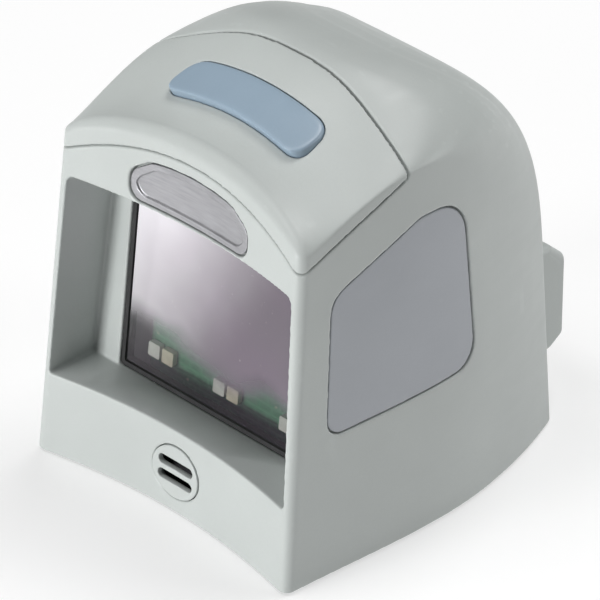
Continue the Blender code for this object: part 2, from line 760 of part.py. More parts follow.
def make_lamp_board():
    """A green board around the lens, with three pairs of lamps along its lower edge."""
    back = LAMP_BOARD_BACK
    board = plate(
        "lamp_board",
        oblong((0.0, 35.8), 24.4, 20.2, 1.0),
        back,
        back + 1.2,
        LEANING_BACK,
        "board_green",
    )
    cut(board, plate("lens_opening", oval(8.4, 8.4, (0.0, LENS_Z)), -9.0, 29.0, LEANING_BACK))
    for i, middle in enumerate(LAMP_PAIRS_X, start=1):
        for word, shift in (("white", -LAMP_SHIFT), ("amber", LAMP_SHIFT)):
            outline = oblong((middle + shift, LAMP_Z), *LAMP_HALF, 0.3, 2)
            low, high = back - LAMP_TALL - GAP, back - GAP
            plate(f"lamp_{word}_{i}", outline, low, high, LEANING_BACK, f"lamp_{word}")


def make_imager():
    """The camera: a bent bracket on the base, the body, its barrel and front lens."""
    ahead = facing((0, -1, 0), (0.0, IMAGER_Y, LENS_Z))
    back_y = IMAGER_Y + 10.0
    box("imager_body", (-10.0, IMAGER_Y, LENS_Z - 8), (10.0, back_y, LENS_Z + 8), "black_plastic")
    barrel = rod("lens_barrel", 6.6, GAP, 9.5, ahead, "black_plastic", sides=24)
    cut(barrel, rod("barrel_bore", 4.6, 5.0, 20.0, ahead, sides=24))
    dome = [(0.0, 7.4), (1.6, 7.3), (3.0, 6.9), (4.2, 6.2), (4.2, 5.3), (0.0, 5.3)]
    turned("front_lens", dome, ahead, "lens_glass")
    foot = BASE_Z + BASE_THICK + GAP
    near, far = back_y + GAP, back_y + GAP + BRACKET_THICK
    side = [
        (near, foot),
        (62.0, foot),
        (62.0, foot + BRACKET_THICK),
        (far, foot + BRACKET_THICK),
        (far, 52.0),
        (near, 52.0),
    ]
    bracket = plate("imager_bracket", side, -9.0, 9.0, SIDEWAYS, "steel")
    hole = facing((0, 1, 0), (0, near, LENS_Z))
    cut(bracket, rod("ribbon_hole", 5.0, -4.0, 4.0, hole))


# ---------------------------------------------------------------- electronics


def make_main_board():
    low, high = BASE_Z + BASE_THICK + GAP, 58.0
    outline = rounded_outline([(-20.0, low, 1.0), (20.0, low, 1.0), (20.0, high, 3.0), (-20.0, high, 3.0)])
    plate("main_board", outline, BOARD_Y, BOARD_Y + 1.6, UPRIGHT, "board_green")
    front = BOARD_Y - GAP
    box("processor_chip", (-14.0, front - 1.4, 16.0), (-2.0, front, 28.0), "black_plastic")
    box("ribbon_socket", (-5.2, front - 2.6, LENS_Z - 2), (5.2, front, LENS_Z + 2), "black_plastic")
    start, stop = IMAGER_Y + 10.0 + 2 * GAP, front - 2.6 - GAP
    steps = 10
    line = []
    for k in range(steps + 1):
        share = k / steps
        drop = RIBBON_SAG * math.sin(math.pi * share)
        line.append((start + (stop - start) * share, LENS_Z - drop))
    ribbon = line + [(y, z + 0.4) for y, z in reversed(line)]
    plate("flex_ribbon", ribbon, -4.0, 4.0, SIDEWAYS, "ribbon")


def make_beeper():
    """The sounder behind the grille, its port facing forward."""
    axis = facing((0, 1, 0), (0, BEEPER_Y, GRILLE_Z + 0.2))
    beeper = rod("beeper", 5.3, 0.0, 3.6, axis, "black_plastic", sides=28)
    cut(beeper, rod("beeper_port", 1.2, -1.0, 1.2, axis, sides=16))


# ---------------------------------------------------------------- press button


def make_button():
    """The button's cap, its flange under the hood and its stem, on the press axis."""
    axis = bpy.data.objects.new("button_axis", None)
    PARTS.objects.link(axis)
    axis.parent = ROOT
    axis.location = Vector(BUTTON_AT) * MM
    axis.rotation_euler = (BUTTON_TILT, 0.0, 0.0)
    home = PRESS.inverted()
    cap = plate("trigger_button", button_outline(), -9.0, 12.0, PRESS, "button_plastic")
    top = body_solid("button_top", -BUTTON_FLUSH)
    hinge = Matrix.Translation(Vector(BUTTON_REAR) * MM)
    top.matrix_local = hinge @ Matrix.Rotation(-BUTTON_RISE, 4, "X") @ hinge.inverted()
    keep(cap, top)
    cut(cap, body_solid("button_under", WALL + 2.2, UNDER))
    low, high = WALL + GAP, WALL + GAP + 1.0
    flange = plate("button_flange", button_outline(BUTTON_FLANGE), -12.0, 9.0, PRESS)
    keep(flange, body_solid("flange_top", low))
    cut(flange, body_solid("flange_under", high, UNDER))
    join(cap, flange, rod("button_stem", 2.0, STEM_END, -3.0, PRESS))
    graph = bpy.context.evaluated_depsgraph_get()
    solid = bpy.data.meshes.new_from_object(cap.evaluated_get(graph))
    home.translation = home.translation * MM
    solid.transform(home)
    bpy.data.objects.remove(cap, do_unlink=True)
    button = bpy.data.objects.new("trigger_button", solid)
    button.parent = axis
    PARTS.objects.link(button)


def make_button_switch():
    """The switch under the button, its plunger, the board that carries it and two lamps."""
    half = SWITCH_SIDE / 2
    low, high = (-half, -half, SWITCH_TOP - SWITCH_HEIGHT), (half, half, SWITCH_TOP)
    body = box("switch_body", low, high, "black_plastic", turn=PRESS)
    cut(body, rod("plunger_bore", PLUNGER_RADIUS + GAP, SWITCH_TOP - 2.6, 0.0, PRESS))
    top = STEM_END - GAP
    rod("switch_plunger", PLUNGER_RADIUS, top - 2.1, top, PRESS, "panel_plastic")
    under = BUTTON_BOARD_TOP - 1.2
    low, high = (-15.0, -4.5, under), (15.0, 13.2, BUTTON_BOARD_TOP)
    board = box("button_board", low, high, "board_green", turn=PRESS)
    for side, word in SIDES:
        cut(board, rod(f"board_hole_{word}", SCREW_HOLE, under - 2, under + 4, board_post(side)))
        x, rest = side * 8.5, BUTTON_BOARD_TOP + GAP
        low, high = (x - 1.2, -1.0, rest), (x + 1.2, 1.0, rest + 0.9)
        box(f"button_lamp_{word}", low, high, "lamp_white", turn=PRESS)
        seat = board_post(side) @ Matrix.Translation((0, 0, under - GAP))
        make_screw(f"board_screw_{word}", seat, 4.6, 0.65)


# ---------------------------------------------------------------- cable block


def make_cable_block():
    """A chamfered block on the back with a socket for the cable's plug, facing backwards."""
    side = [
        (60.0, BLOCK_LOW - 1.0),
        (BLOCK_BACK - 3.4, BLOCK_LOW),
        (BLOCK_BACK, BLOCK_LOW + 2.2),
        (BLOCK_BACK, BLOCK_HIGH - 3.2),
        (BLOCK_BACK - 3.6, BLOCK_HIGH),
        (60.0, BLOCK_HIGH + 1.0),
    ]
    block = plate("cable_block", side, -BLOCK_HALF, BLOCK_HALF, SIDEWAYS, "shell_plastic")
    round_edges(block, 1.2, 3)
    cut(block, body_solid("block_seat", -GAP, UNDER))
    low = (-SOCKET_HALF, SOCKET_FLOOR_Y, SOCKET_Z - SOCKET_HIGH)
    high = (SOCKET_HALF, FAR, SOCKET_Z + SOCKET_HIGH)
    cut(block, box("socket_cavity", low, high))
    for side, word in SIDES:
        x = side * BLOCK_SCREW_X
        seat_y = rear_y(x / width_at(1.0, SOCKET_Z), SOCKET_Z) - WALL - GAP
        end_y = seat_y + BLOCK_SCREW_LENGTH
        hole = rod(f"block_hole_{word}", SCREW_HOLE, 0.0, end_y + 1.0 - 70.0, block_axis(x, 70.0))
        cut(block, hole)
        make_screw(f"block_screw_{word}", block_axis(x, seat_y), BLOCK_SCREW_LENGTH)
    cut(block, rod("block_wire_hole", WIRE_HOLE, 0.0, SOCKET_FLOOR_Y - 69.0, block_axis(0, 70.0)))


def make_cable_socket():
    """The jack in the block's cavity and its row of contacts."""
    wide, front, back = SOCKET_HALF - GAP, SOCKET_FLOOR_Y + GAP, BLOCK_BACK - 0.2
    low, high = SOCKET_Z - SOCKET_HIGH + GAP, SOCKET_Z + SOCKET_HIGH - GAP
    jack = box("cable_socket", (-wide, front, low), (wide, back, high), "black_plastic")
    cut(jack, box("jack_mouth", (-wide + 0.9, front + 1.3, low + 0.9), (wide - 0.9, FAR, high - 0.9)))
    top = high - 0.9 - GAP
    comb = box("socket_contacts", (-4.6, front + 1.6, top - 0.5), (4.6, back - 1.6, top), "gold")
    for k in range(7):
        x = (k - 3) * 1.15
        cut(comb, box(f"comb_gap_{k}", (x - 0.22, front + 2.8, low), (x + 0.22, FAR, high)))


# ---------------------------------------------------------------- base and fasteners


def make_screw(name, turn, length, shank=SCREW_RADIUS):
    """A pan-head screw. Its shank runs along the placement's Z from the head's seat."""
    head = SCREW_HEAD if shank == SCREW_RADIUS else SCREW_HEAD * 0.8
    profile = [
        (0.0, length),
        (shank * 0.6, length),
        (shank, length - 0.6),
        (shank, 0.0),
        (head, 0.0),
        (head, -0.6),
        (head * 0.7, -SCREW_HEAD_HEIGHT + GAP),
        (0.0, -SCREW_HEAD_HEIGHT + GAP),
    ]
    return turned(name, profile, turn, "steel", sides=14)


def make_base():
    base = body_solid("base_plate", WALL + GAP, BASE_Z, "black_plastic", BASE_DETAIL)
    keep(base, box("base_slab", (-FAR, -FAR, -FAR), (FAR, FAR, BASE_Z + BASE_THICK)))
    for side, word in SIDES:
        for (x, y), end in zip(FEET, ("front", "rear")):
            spot = Matrix.Translation((side * x, y, 0))
            cut(base, rod(f"foot_seat_{end}_{word}", FOOT_RADIUS + GAP, -1.0, FOOT_HEIGHT + GAP, spot))
            foot = rod(f"foot_{end}_{word}", FOOT_RADIUS, 0.0, FOOT_HEIGHT, spot, "rubber", sides=24)
            round_edges(foot, 0.3)
        for (x, y), end in zip(BASE_SCREWS, ("front", "rear")):
            spot = Matrix.Translation((side * x, y, BASE_Z + SCREW_HEAD_HEIGHT))
            cut(base, rod(f"base_hole_{end}_{word}", SCREW_HOLE, UNDER, 5.0, spot))
            cut(base, rod(f"base_sink_{end}_{word}", SCREW_HEAD + GAP, UNDER, 0.0, spot))
            seat = Matrix.Translation((side * x, y, BASE_Z + SCREW_HEAD_HEIGHT - GAP))
            make_screw(f"base_screw_{end}_{word}", seat, 6.5)


def main():
    clear_scene()
    make_collections()
    make_main_shell()
    make_top_cover()
    make_panels()
    make_front_trim()
    make_window()
    make_lamp_board()
    make_imager()
    make_main_board()
    make_beeper()
    make_button()
    make_button_switch()
    make_cable_block()
    make_cable_socket()
    make_base()


main()
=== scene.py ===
"""The looks of a compact presentation scanner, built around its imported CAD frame.

Shapes are drawn in millimetres measured from the front of the housing, then moved to the frame."""

import functools
import math
from collections import namedtuple

import bmesh
import bpy
import numpy as np
from mathutils import Matrix, Vector


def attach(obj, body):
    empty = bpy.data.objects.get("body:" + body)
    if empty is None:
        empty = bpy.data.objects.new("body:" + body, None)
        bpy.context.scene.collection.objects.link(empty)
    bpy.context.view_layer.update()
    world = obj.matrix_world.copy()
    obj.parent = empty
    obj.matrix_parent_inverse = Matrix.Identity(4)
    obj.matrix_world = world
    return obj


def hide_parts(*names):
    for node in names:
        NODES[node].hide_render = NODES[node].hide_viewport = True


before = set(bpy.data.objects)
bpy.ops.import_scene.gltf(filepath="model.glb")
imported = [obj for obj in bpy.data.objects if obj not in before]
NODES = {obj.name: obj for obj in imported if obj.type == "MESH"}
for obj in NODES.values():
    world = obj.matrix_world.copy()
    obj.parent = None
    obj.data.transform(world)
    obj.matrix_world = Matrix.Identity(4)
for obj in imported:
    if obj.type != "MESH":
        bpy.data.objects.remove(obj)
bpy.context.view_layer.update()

MM = 0.001
GAP = 0.3
FAR = 140.0
UNDER = -5.0
# The frame's origin lies this far behind the origin that the shapes are drawn from.
ORIGIN_Y = 46.659

Station = namedtuple("Station", "depth half_width lean shoulder crown top_power side_power")
STATIONS = (
    Station(0.0, 36.2, 0.0375, 71.43, 80.25, 1.67, 2.0),
    Station(0.4, 37.9, 0.0375, 80.06, 87.51, 1.48, 2.0),
    Station(0.7, 36.63, 0.0400, 70.48, 92.07, 2.72, 2.72),
    Station(1.0, 29.02, 0.0440, 35.49, 88.93, 3.73, 3.73),
)
FRONT_LEAN, FRONT_BOW, FRONT_BOW_FADE = 0.095, 4.65, 0.011
REAR_Y, REAR_LEAN, REAR_BOW = 81.7, 0.038, 0.35
FRONT_EDGE = ((2.6, 3.0), (2.6, 3.0))
REAR_EDGE = ((2.0, 43.0), (2.0, 26.6))
CROWN_POWER = 2.2
BLEND_REACH, BLEND_FROM, BLEND_TO = 0.3, 1.3, 2.95
BLEND_WEIGHTS = (1, 2, 3, 4, 3, 2, 1)
RIM_Z = 0.5
WALL = 2.4

SEAM_CORNER_X, SEAM_CORNER_Z, SEAM_RISE = 33.5, 67.3, 8.2
SEAM_SLOPE = 0.428
SEAM_BACK_Y, SEAM_BACK_Z, SEAM_BACK_LEAN = 37.5, 90.2, 0.36
REAR_SEAM_EASE = 0.2

BADGE_HALF, BADGE_FOOT, BADGE_BROW, BADGE_RISE = 16.2, 63.3, 71.0, 2.1
BADGE_POCKET, BADGE_SINK, BADGE_BACK = 1.5, 0.3, 1.2
BADGE_RIM, BADGE_FIELD_SINK = 1.25, 0.75
BADGE_REACH = (-20.0, 30.0)
PANEL_POCKET, PANEL_SINK, PANEL_BACK = 1.25, 0.25, 0.95

SILL_Z, LINTEL_Z = 18.2, 62.6
RECESS_LOW_X, RECESS_HIGH_X, RECESS_CORNER = 33.4, 31.3, 1.8
FRAME_Y, FRAME_LEAN, FRAME_THICK = 14.4, 0.12, 2.2
SHELF_THICK = 2.2
WINDOW_X, WINDOW_TOP = 26.2, 60.2
WINDOW_REACH = (-4.0, 12.0)

GRILLE_Z, GRILLE_HALF = 9.2, (6.3, 5.4)
SLOT_LIFT, SLOT_HALF, SLOT_TALL = 1.6, 4.8, 2.0
GRILLE_THICK, GRILLE_PROUD, GRILLE_GROW = 1.1, 0.2, 0.15
GRILLE_REACH, SLOT_REACH = (-20.0, 12.0), (-20.0, 20.0)

BUTTON_AT = (0.0, 24.3, 85.3)
BUTTON_TILT = math.radians(28.0)
BUTTON_HALF, BUTTON_DEPTH = 18.4, 9.4
BUTTON_BOW, BUTTON_FRONT_BOW = 1.6, 2.1
BUTTON_END_POWER = 0.72
BUTTON_REAR = (0.0, 28.8, 87.3)
BUTTON_RISE = math.radians(11.0)
BUTTON_FLUSH = 0.2
BUTTON_GROW, BUTTON_SLOT_GROW = 0.12, 0.2
BUTTON_DEEP = WALL + 2.2
BUTTON_REACH, BUTTON_SLOT_REACH = (-9.0, 12.0), (-12.0, 12.0)

BLOCK_HALF, BLOCK_BACK = 20.5, 92.7
BLOCK_LOW, BLOCK_HIGH = 9.9, 34.3
BLOCK_ROOT_Y, BLOCK_SPLAY = 60.0, 1.0
BLOCK_FOOT_SLOPE, BLOCK_TOP_SLOPE = (3.4, 2.2), (3.6, 3.2)
BLOCK_BEVEL, BEVEL_STEPS = 1.2, 5
SOCKET_Z, SOCKET_FLOOR_Y = 20.6, 84.3
SOCKET_HALF, SOCKET_HIGH = 7.0, 5.2
SIDES = ((-1, "left"), (1, "right"))

FINER = 0.62

# Voxel size in millimetres, rounds of smoothing and share of the faces kept, for each piece.
EASING = {
    "shell": (0.34, 4, 0.28),
    "cover": (0.3, 4, 0.4),
    "button": (0.3, 36, 0.6),
    "panel": (0.2, 3, 0.5),
    "badge": (0.2, 2, 0.6),
    "grille": (0.2, 3, 1.0),
    "block": (0.25, 4, 0.6),
}

FINE = {"ends": 12, "middle": 36, "sides": 10, "arch": 36, "across": 26}
PLAIN = {"ends": 6, "middle": 12, "sides": 3, "arch": 12, "across": 10}

# ---------------------------------------------------------------- mesh helpers


def place(name, mesh):
    obj = bpy.data.objects.new(name, mesh)
    bpy.context.scene.collection.objects.link(obj)
    return obj


def mesh_of(bm, name):
    bmesh.ops.triangulate(bm, faces=bm.faces)
    bmesh.ops.recalc_face_normals(bm, faces=bm.faces)
    bmesh.ops.translate(bm, vec=(0, -ORIGIN_Y, 0), verts=bm.verts)
    bmesh.ops.scale(bm, vec=(MM, MM, MM), verts=bm.verts)
    mesh = bpy.data.meshes.new(name)
    bm.to_mesh(mesh)
    bm.free()
    return mesh


def applied(obj):
    """The object with its modifiers made part of its mesh."""
    graph = bpy.context.evaluated_depsgraph_get()
    mesh = bpy.data.meshes.new_from_object(obj.evaluated_get(graph))
    obj.modifiers.clear()
    old = obj.data
    obj.data = mesh
    bpy.data.meshes.remove(old)
    return obj


def combine(obj, operation, others, solver="MANIFOLD"):
    """A Boolean with each of the others, which are then removed."""
    for other in others:
        modifier = obj.modifiers.new(operation, "BOOLEAN")
        modifier.operation = operation
        modifier.object = other
        modifier.solver = solver
    applied(obj)
    for other in others:
        bpy.data.objects.remove(other, do_unlink=True)
    return obj


def cut(obj, *others, solver="MANIFOLD"):
    return combine(obj, "DIFFERENCE", others, solver)


def keep(obj, *others):
    return combine(obj, "INTERSECT", others)


def soften(obj, piece):
    """Evens out the mesh and rounds every edge a little, as moulded plastic has."""
    voxel, rounds, share = EASING[piece]
    remesh = obj.modifiers.new("even", "REMESH")
    remesh.mode = "VOXEL"
    remesh.voxel_size = voxel * FINER * MM
    remesh.use_smooth_shade = True
    smooth = obj.modifiers.new("round", "SMOOTH")
    smooth.factor = 0.5
    smooth.iterations = round(rounds / FINER**2)
    if share < 1.0:
        thin = obj.modifiers.new("thin", "DECIMATE")
        thin.ratio = share * FINER**2
    applied(obj)
    obj.data.shade_smooth()
    return obj


# ---------------------------------------------------------------- simple solids


def box(name, low, high):
    bm = bmesh.new()
    bmesh.ops.create_cube(bm, size=1.0)
    low, high = Vector(low), Vector(high)
    bmesh.ops.scale(bm, vec=high - low, verts=bm.verts)
    bmesh.ops.translate(bm, vec=(low + high) / 2, verts=bm.verts)
    return place(name, mesh_of(bm, name))


def plate(name, outline, low, high, turn):
    """A flat outline in its own XY plane, thick from low to high, carried to its place."""
    bm = bmesh.new()
    lower = [bm.verts.new((x, y, low)) for x, y in outline]
    upper = [bm.verts.new((x, y, high)) for x, y in outline]
    bm.faces.new(lower[::-1])
    bm.faces.new(upper)
    count = len(outline)
    for i in range(count):
        j = (i + 1) % count
        bm.faces.new((lower[i], lower[j], upper[j], upper[i]))
    bmesh.ops.remove_doubles(bm, verts=bm.verts, dist=0.001)
    bmesh.ops.transform(bm, matrix=turn, verts=bm.verts)
    return place(name, mesh_of(bm, name))


UPRIGHT = Matrix(((1, 0, 0, 0), (0, 0, 1, 0), (0, 1, 0, 0), (0, 0, 0, 1)))
SIDEWAYS = Matrix(((0, 0, 1, 0), (1, 0, 0, 0), (0, 1, 0, 0), (0, 0, 0, 1)))
LEANING_BACK = Matrix(
    ((1, 0, 0, 0), (0, FRAME_LEAN, 1, FRAME_Y - FRAME_LEAN * SILL_Z), (0, 1, 0, 0), (0, 0, 0, 1))
)
PRESS = Matrix.Translation(BUTTON_AT) @ Matrix.Rotation(BUTTON_TILT, 4, "X")


def rounded_outline(corners, steps=10):
    """Corners (x, y, radius) joined by straight runs, each corner rounded by an arc."""
    count = len(corners)
    points = []
    for i, (x, y, radius) in enumerate(corners):
        here = Vector((x, y))
        back = (Vector(corners[i - 1][:2]) - here).normalized()
        ahead = (Vector(corners[(i + 1) % count][:2]) - here).normalized()
        half = back.angle(ahead) / 2
        middle = (back + ahead).normalized()
        centre = here + middle * radius / math.sin(half)
        start = here + back * radius / math.tan(half) - centre
        sweep = math.pi - 2 * half
        turn_left = back.cross(ahead) < 0
        for k in range(steps + 1):
            angle = sweep * k / steps * (1 if turn_left else -1)
            spoke = Matrix.Rotation(angle, 2) @ start
            points.append(tuple(centre + spoke))
    return points


def oblong(centre, half_wide, half_high, radius):
    x, y = centre
    signs = ((-1, -1), (1, -1), (1, 1), (-1, 1))
    corners = [(x + a * half_wide, y + b * half_high, radius) for a, b in signs]
    return rounded_outline(corners)


def oval(half_wide, half_high, centre, steps=72):
    x, y = centre
    turns = [2 * math.pi * k / steps for k in range(steps)]
    return [(x + half_wide * math.cos(a), y + half_high * math.sin(a)) for a in turns]


# ---------------------------------------------------------------- the lofted body


@functools.cache
def station_curve(field):
    depths = [station.depth for station in STATIONS]
    values = [getattr(station, field) for station in STATIONS]
    return np.polyfit(depths, values, 3)


def at_depth(field, depth):
    """A station value at this share of the depth, on the cubic through the four stations."""
    return float(np.polyval(station_curve(field), depth))


def width_at(depth, z):
    return at_depth("half_width", depth) - at_depth("lean", depth) * z


def front_y(share, z):
    return FRONT_LEAN * z + (FRONT_BOW - FRONT_BOW_FADE * z) * (1 - share**2)


def rear_y(share, z):
    return REAR_Y - REAR_LEAN * z + REAR_BOW * (1 - share**2)


def half_section(depth, floor, side_steps, arch_steps, tuck=(0.0, 0.0)):
    """The right half's outline at one depth, floor to crown: x, z, outward normal, crown share."""
    shoulder, crown_z = at_depth("shoulder", depth), at_depth("crown", depth) - tuck[1]
    turn = np.linspace(math.pi / 2, 0.0, arch_steps + 1)
    lift = np.clip(np.cos(turn), 0, 1)
    side_z = np.linspace(floor, shoulder, side_steps, endpoint=False)
    arch_z = shoulder + (crown_z - shoulder) * lift ** (2 / at_depth("top_power", depth))
    z = np.concatenate([side_z, arch_z])
    across = np.sin(turn) ** (2 / at_depth("side_power", depth))
    share = np.concatenate([np.ones(side_steps), across])
    x = (width_at(depth, z) - tuck[0]) * share
    run = np.gradient(np.stack([x, z], axis=1), axis=0)
    normal = np.stack([run[:, 1], -run[:, 0]], axis=1)
    normal /= np.linalg.norm(normal, axis=1, keepdims=True)
    normal[0] = (1.0, 0.0)
    normal[-1] = (0.0, 1.0)
    crown = np.concatenate([np.zeros(side_steps), lift**CROWN_POWER])
    return x, z, normal, crown


def body_rows(end_steps, middle_steps):
    """Rows from front to back: 0 to 1 is the front end's rounding, 2 to 3 the rear end's."""
    rows = [k / end_steps for k in range(end_steps)]
    rows += [1 + k / middle_steps for k in range(middle_steps)]
    rows += [2 + k / end_steps for k in range(end_steps + 1)]
    return rows


def edge_size(edge, which, crown, wall):
    side, top = edge[which]
    return np.maximum(side + (top - side) * crown - wall, 0.4)


def plain_row(row, wall, floor, side_steps, arch_steps):
    """Points of the right half of one row, moved inward from the outer surface by wall."""
    depth = min(max(row - 1, 0.0), 1.0)
    end = "front" if row <= 1 else "rear" if row >= 2 else "middle"
    turn = min(row, 3 - row, 1.0)
    angle = turn * math.pi / 2
    edge = FRONT_EDGE if end == "front" else REAR_EDGE
    drawn = 0.0 if end == "middle" else 1 - math.sin(angle)
    tuck = [drawn * edge_size(edge, 0, crown, wall) for crown in (0.0, 1.0)]
    x, z, normal, crown = half_section(depth, floor, side_steps, arch_steps, tuck)
    new_x = np.maximum(x - wall * normal[:, 0], 0.0)
    new_z = z - wall * normal[:, 1]
    new_z[0] = floor
    new_x[-1] = 0.0
    share = new_x / width_at(depth, new_z)
    front_edge = edge_size(FRONT_EDGE, 1, crown, wall)
    rear_edge = edge_size(REAR_EDGE, 1, crown, wall)
    front = front_y(share, new_z) + wall
    rear = rear_y(share, new_z) - wall
    if end == "front":
        y = front + front_edge * (1 - math.cos(angle))
    elif end == "rear":
        y = rear - rear_edge * (1 - math.cos(angle))
    else:
        y = (front + front_edge) * (1 - depth) + (rear - rear_edge) * depth
    return np.stack([new_x, y, new_z], axis=1)


def row_points(row, wall, floor, side_steps, arch_steps):
    """A row averaged with those beside it, so that the rear's rounding starts without a crease."""
    reach = min(BLEND_REACH, (row - BLEND_FROM) * 0.7, (BLEND_TO - row) * 0.6)
    if reach <= 0:
        return plain_row(row, wall, floor, side_steps, arch_steps)
    total = 0.0
    for k, weight in enumerate(BLEND_WEIGHTS):
        beside = row + reach * (k - 3) / 4
        total = total + weight * plain_row(min(beside, 3.0), wall, floor, side_steps, arch_steps)
    return total / sum(BLEND_WEIGHTS)


def bridge(bm, first, second):
    """Faces between two lines of vertices. A line of one vertex makes a fan."""
    if len(first) == 1:
        first, second = second, first
    for k in range(len(first) - 1):
        if len(second) == 1:
            bm.faces.new((first[k], first[k + 1], second[0]))
        else:
            bm.faces.new((first[k], first[k + 1], second[k + 1], second[k]))


def rung(bm, right, left, across, bow):
    """Vertices from right to left between two level ones, bowed along Y in the middle."""
    if right is left:
        return [right]
    line = [right]
    for k in range(1, across):
        share = 1 - 2 * k / across
        y = right.co.y + bow * (1 - share**2)
        line.append(bm.verts.new((right.co.x * share, y, right.co.z)))
    return line + [left]


def body_solid(name, wall=0.0, floor=RIM_Z, detail=FINE, turn=None):
    """The closed body, its surface moved inward by wall."""
    ends, middle, sides, arch, across = detail.values()
    bm = bmesh.new()
    grid = []
    for row in body_rows(ends, middle):
        points = row_points(row, wall, floor, sides, arch)
        right = [bm.verts.new(p) for p in points]
        left = [bm.verts.new((-p[0], p[1], p[2])) for p in points[:-1]]
        grid.append(right + left[::-1])
    for first, second in zip(grid, grid[1:]):
        bridge(bm, first, second)
    last = len(grid[0]) - 1
    caps = []
    for line, bow_at, depth in ((grid[0], front_y, 0.0), (grid[-1], rear_y, 1.0)):
        rungs = []
        for j in range(last // 2 + 1):
            z = line[j].co.z
            bow = bow_at(0.0, z) - bow_at(line[j].co.x / width_at(depth, z), z)
            rungs.append(rung(bm, line[j], line[last - j], across, bow))
        for lower, upper in zip(rungs, rungs[1:]):
            bridge(bm, lower, upper)
        caps.append(rungs[0])
    count = len(grid)
    floor_lines = [caps[0]]
    for i in range(1, count - 1):
        bow = FRONT_BOW + (REAR_BOW - FRONT_BOW) * i / (count - 1)
        floor_lines.append(rung(bm, grid[i][0], grid[i][last], across, bow * 0.9))
    floor_lines.append(caps[1])
    for first, second in zip(floor_lines, floor_lines[1:]):
        bridge(bm, first, second)
    if turn:
        bmesh.ops.transform(bm, matrix=turn, verts=bm.verts)
    return place(name, mesh_of(bm, name))


def seam_z(x):
    return SEAM_CORNER_Z + SEAM_RISE * (1 - (min(abs(x), SEAM_CORNER_X) / SEAM_CORNER_X) ** 2)


def hood_zone(name, clearance, rear_clearance):
    """The space that the hood fills: over an arch at the front, a slope along the sides and a
    leaning plane at the back."""
    steps = 48
    line = [SEAM_CORNER_X * (2 * k / steps - 1) for k in range(steps + 1)]
    bm = bmesh.new()
    rings = []
    for x in [-FAR / 2] + line + [FAR / 2]:
        share = min(abs(x) / SEAM_CORNER_X, 1.0)
        low = seam_z(x) + clearance
        face = front_y(share, low)
        back_y = SEAM_BACK_Y - rear_clearance
        reach = back_y - SEAM_BACK_LEAN * (SEAM_BACK_Z - low + SEAM_SLOPE * face)
        corner_y = reach / (1 - SEAM_BACK_LEAN * SEAM_SLOPE)
        corner_z = low + SEAM_SLOPE * (corner_y - face)
        top_y = back_y + SEAM_BACK_LEAN * (FAR - SEAM_BACK_Z)
        ring = [(-FAR, low), (face, low), (corner_y, corner_z), (top_y, FAR), (-FAR, FAR)]
        rings.append([bm.verts.new((x, y, z)) for y, z in ring])
    for first, second in zip(rings, rings[1:]):
        bridge(bm, first + first[:1], second + second[:1])
    bm.faces.new(rings[0])
    bm.faces.new(rings[-1])
    return place(name, mesh_of(bm, name))


# ---------------------------------------------------------------- outlines


def frame_front_y(z):
    return FRAME_Y + FRAME_LEAN * (z - SILL_Z)


def recess_cutter():
    low_x, high_x, corner = RECESS_LOW_X, RECESS_HIGH_X, RECESS_CORNER
    outline = rounded_outline(
        [
            (-low_x, SILL_Z, 0.8),
            (low_x, SILL_Z, 0.8),
            (high_x, LINTEL_Z, corner),
            (-high_x, LINTEL_Z, corner),
        ]
    )
    cutter = plate("recess_cut", outline, -FAR, 0.0, UPRIGHT)
    for vertex in cutter.data.vertices:
        if vertex.co.y > -0.5 * FAR * MM - ORIGIN_Y * MM:
            vertex.co.y = (frame_front_y(vertex.co.z / MM) - ORIGIN_Y) * MM
    return cutter


def window_outline(inset):
    side, top, low = WINDOW_X - inset, WINDOW_TOP - inset, SILL_Z + inset
    corners = [(-side, low, 0.4), (side, low, 0.4), (side, top, 1.2), (-side, top, 1.2)]
    return rounded_outline(corners, 5)


def badge_outline(grow=0.0):
    """A band with a level foot and a brow that arches up in the middle."""
    half, foot, brow = BADGE_HALF + grow, BADGE_FOOT - grow, BADGE_BROW + grow
    turns = np.linspace(0.5, math.pi - 0.5, 25)
    top = [(half * 0.8 * math.cos(a), brow + BADGE_RISE * math.sin(a)) for a in turns]
    low_ends = [(-half, foot, 3.0), (half, foot, 3.0)]
    ends = [(-half, brow - 2.0, 3.4), *low_ends, (half, brow - 2.0, 3.4)]
    return rounded_outline(ends + [(x, z, 0.1) for x, z in top], 12)


def panel_outline(grow=0.0):
    corners = [
        (12.3, 30.8, 3.6),
        (51.6, 31.2, 5.5),
        (48.6, 68.9, 8.6),
        (36.6, 69.2, 8.0),
        (14.6, 60.2, 6.0),
    ]
    centre = Vector((32.0, 51.0))
    grown = []
    for y, z, radius in corners:
        spoke = Vector((y, z)) - centre
        moved = centre + spoke * (1 + 1.3 * grow / spoke.length)
        grown.append((moved.x, moved.y, radius))
    return rounded_outline(grown, 14)


def grille_outline(grow=0.0):
    return oval(GRILLE_HALF[0] + grow, GRILLE_HALF[1] + grow, (0.0, GRILLE_Z))


